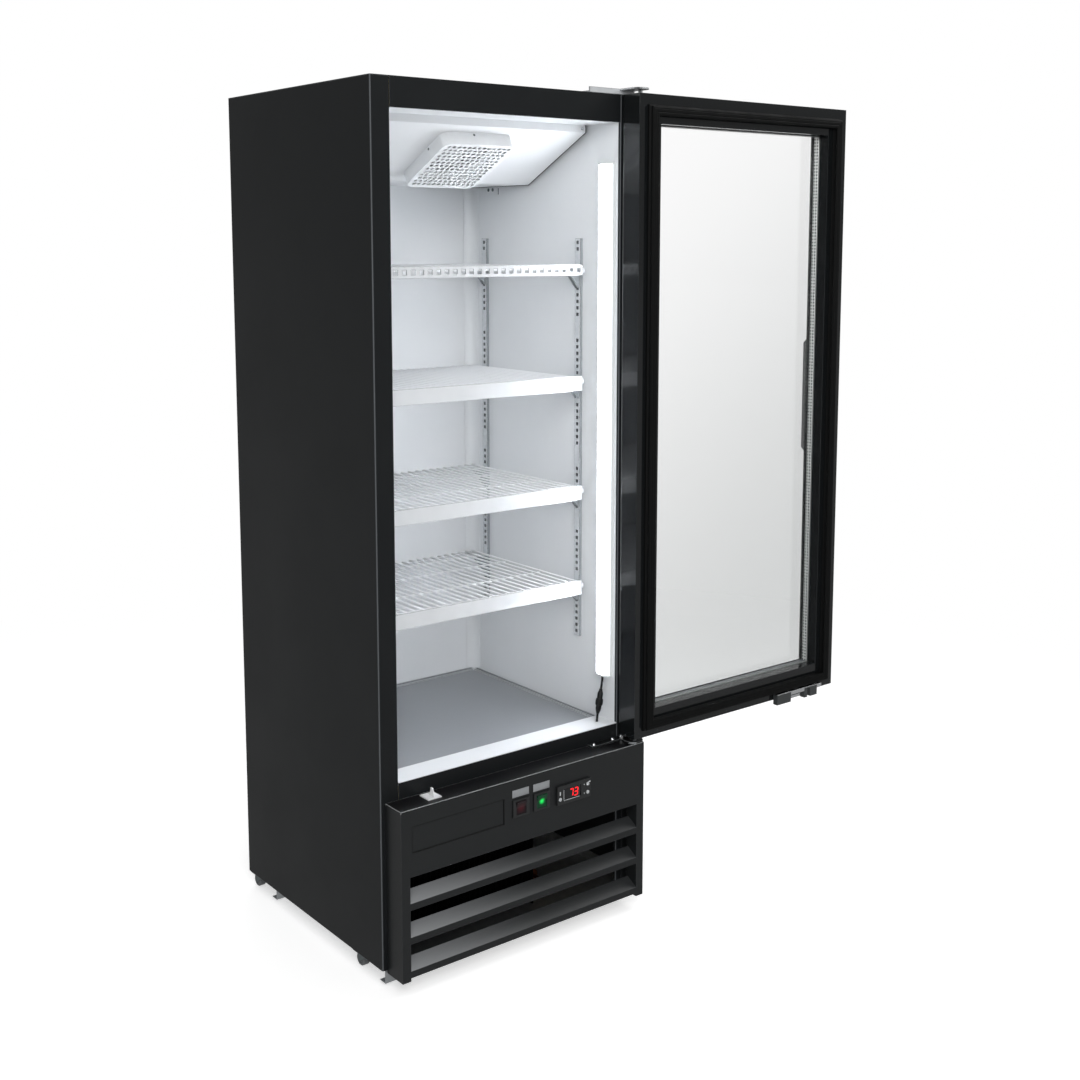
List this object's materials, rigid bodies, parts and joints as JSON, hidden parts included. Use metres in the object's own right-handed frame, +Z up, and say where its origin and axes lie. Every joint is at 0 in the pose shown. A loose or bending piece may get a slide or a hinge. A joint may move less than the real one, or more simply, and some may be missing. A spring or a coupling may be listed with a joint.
{
  "type": "glass door display refrigerator",
  "caption": "Upright refrigerated display cabinet: glass door hung on the right, wire shelves on slotted standards, side light bar, front controls, louvered base on casters.",
  "frame": {"origin": "on the floor under the centre of the cabinet's footprint, door and grille left out", "axes": "+X to the cabinet's right seen from the front, where the door is hinged, +Y to the back, +Z up"},
  "size_m": [1.115, 0.5867, 1.59],
  "materials": {
    "cabinet_paint": "satin black",
    "grille_paint": "satin black",
    "liner_paint": "gloss white",
    "tray_grey": "matte grey",
    "zinc_plate": "dull zinc",
    "steel_sheet": "plain galvanised sheet",
    "shelf_white": "white powder coat",
    "strip_white": "satin white",
    "lamp_white": "lit, translucent white",
    "foam": "rigid foam",
    "black_plastic": "satin black",
    "red_plastic": "translucent dark red",
    "green_plastic": "lit green",
    "silver_plastic": "silver grey",
    "door_black": "gloss black",
    "door_glass": "clear",
    "aluminium": "mill finish, dotted",
    "seal_rubber": "matte black",
    "chrome_steel": "polished",
    "copper_pipe": "copper",
    "cast_black": "satin black",
    "wheel_grey": "matte grey nylon",
    "black_steel": "satin black"
  },
  "bodies": {
    "cabinet": {"side_panel_left": "cabinet_paint", "side_panel_right": "cabinet_paint", "top_panel": "cabinet_paint", "rear_panel": "steel_sheet", "lower_rail": "cabinet_paint", "base_frame": "steel_sheet", "insulation": "foam", "inner_liner": "liner_paint", "sill_plate": "liner_paint", "floor_tray": "tray_grey", "evaporator_cover": "liner_paint", "fan_guard": "strip_white", "evaporator_coil": "aluminium", "fan_motors": "black_plastic", "shelf_standards": "zinc_plate", "shelf_clips": "zinc_plate", "shelf_1": "shelf_white", "shelf_2": "shelf_white", "shelf_3": "shelf_white", "shelf_4": "shelf_white", "price_strips": "strip_white", "led_profile": "strip_white", "led_lens": "lamp_white", "led_lead": "black_plastic", "led_connector": "black_plastic", "top_hinge": "zinc_plate", "bottom_hinge": "black_steel", "screws": "chrome_steel", "catch_tab": "zinc_plate", "grille_panel": "grille_paint", "switch_bezels": "black_plastic", "controller_body": "black_plastic", "compressor": "cast_black", "condenser": "black_steel", "condenser_shroud": "black_steel", "refrigerant_pipes": "copper_pipe", "drain_pan": "black_plastic", "rear_grille": "black_steel", "cord_gland": "black_plastic", "caster_plates": "zinc_plate"},
    "door": {"door_frame": "door_black", "door_glass": "door_glass", "glass_spacer": "aluminium", "door_gasket": "seal_rubber", "door_handle": "door_black", "lock_bracket": "chrome_steel", "lock_blocks": "black_plastic"},
    "power_rocker_body": {"power_rocker": "red_plastic"},
    "light_rocker_body": {"light_rocker": "green_plastic"},
    "set_button_body": {"set_button": "silver_plastic"},
    "up_button_body": {"up_button": "silver_plastic"},
    "down_button_body": {"down_button": "silver_plastic"},
    "evaporator_fan_body": {"evaporator_fan": "black_plastic"},
    "condenser_fan_body": {"condenser_fan": "black_plastic"},
    "fork_left_body": {"fork_left": "zinc_plate"},
    "fork_right_body": {"fork_right": "zinc_plate"},
    "wheel_front_left_body": {"wheel_front_left": "wheel_grey"},
    "wheel_front_right_body": {"wheel_front_right": "wheel_grey"},
    "wheel_rear_left_body": {"wheel_rear_left": "wheel_grey"},
    "wheel_rear_right_body": {"wheel_rear_right": "wheel_grey"}
  },
  "joints": [
    {"name": "door_hinge", "type": "hinge", "parent": "cabinet", "child": "door", "pos_m": [0.27, -0.2925, 0.964], "axis": [0, 0, -1], "range_deg": [0, 180]},
    {"name": "power_rocker_tilt", "type": "hinge", "parent": "cabinet", "child": "power_rocker_body", "pos_m": [-0.0225, -0.308, 0.285], "axis": [1, 0, 0], "range_deg": [-16, 0]},
    {"name": "light_rocker_tilt", "type": "hinge", "parent": "cabinet", "child": "light_rocker_body", "pos_m": [0.0255, -0.308, 0.285], "axis": [1, 0, 0], "range_deg": [-16, 0]},
    {"name": "set_button_press", "type": "slide", "parent": "cabinet", "child": "set_button_body", "axis": [0, 1, 0], "range_m": [0, 0.001], "stiffness_N_per_m": 300, "springref_m": -0.0008},
    {"name": "up_button_press", "type": "slide", "parent": "cabinet", "child": "up_button_body", "axis": [0, 1, 0], "range_m": [0, 0.001], "stiffness_N_per_m": 300, "springref_m": -0.0008},
    {"name": "down_button_press", "type": "slide", "parent": "cabinet", "child": "down_button_body", "axis": [0, 1, 0], "range_m": [0, 0.001], "stiffness_N_per_m": 300, "springref_m": -0.0008},
    {"name": "evaporator_fan_spin", "type": "hinge", "parent": "cabinet", "child": "evaporator_fan_body", "pos_m": [0.006, -0.079, 1.4685], "axis": [0, 0.461, 0.8874], "continuous": true},
    {"name": "condenser_fan_spin", "type": "hinge", "parent": "cabinet", "child": "condenser_fan_body", "pos_m": [-0.074, -0.156, 0.1465], "axis": [0, 1, 0], "continuous": true},
    {"name": "fork_left_swivel", "type": "hinge", "parent": "cabinet", "child": "fork_left_body", "pos_m": [-0.27, -0.1765, 0.026], "axis": [0, 0, 1], "continuous": true},
    {"name": "wheel_front_left_spin", "type": "hinge", "parent": "fork_left_body", "child": "wheel_front_left_body", "pos_m": [-0.27, -0.1595, 0.013], "axis": [1, 0, 0], "continuous": true},
    {"name": "wheel_rear_left_spin", "type": "hinge", "parent": "cabinet", "child": "wheel_rear_left_body", "pos_m": [-0.27, 0.2475, 0.013], "axis": [1, 0, 0], "continuous": true},
    {"name": "fork_right_swivel", "type": "hinge", "parent": "cabinet", "child": "fork_right_body", "pos_m": [0.27, -0.1765, 0.026], "axis": [0, 0, 1], "continuous": true},
    {"name": "wheel_front_right_spin", "type": "hinge", "parent": "fork_right_body", "child": "wheel_front_right_body", "pos_m": [0.27, -0.1595, 0.013], "axis": [1, 0, 0], "continuous": true},
    {"name": "wheel_rear_right_spin", "type": "hinge", "parent": "cabinet", "child": "wheel_rear_right_body", "pos_m": [0.27, 0.2475, 0.013], "axis": [1, 0, 0], "continuous": true}
  ]
}
